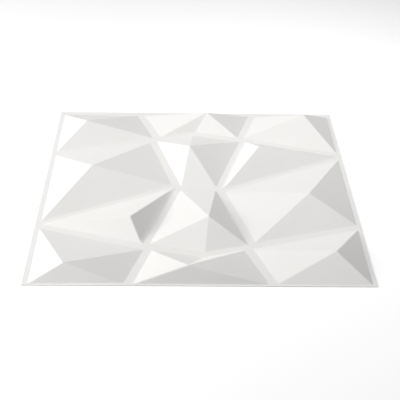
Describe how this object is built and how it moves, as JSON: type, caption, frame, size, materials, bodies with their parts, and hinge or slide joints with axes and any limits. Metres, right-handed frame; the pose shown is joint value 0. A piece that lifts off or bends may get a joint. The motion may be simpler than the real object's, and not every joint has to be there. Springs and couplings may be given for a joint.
{
  "type": "faceted wall panel tile",
  "caption": "Square relief wall panel with faceted peaks, moulded hollow from thin white plastic sheet, with a flat border to butt against the next panel.",
  "frame": {"origin": "middle of the flat back, on the plane that rests on the wall or floor", "axes": "+Z out of the wall through the relief, +X across the panel to its right edge, +Y up the panel to its far edge as it lies"},
  "size_m": [0.5, 0.5, 0.019],
  "materials": {
    "panel_plastic": "matte white, very fine moulded texture"
  },
  "bodies": {
    "root": {"wall_panel": "panel_plastic"}
  },
  "joints": []
}
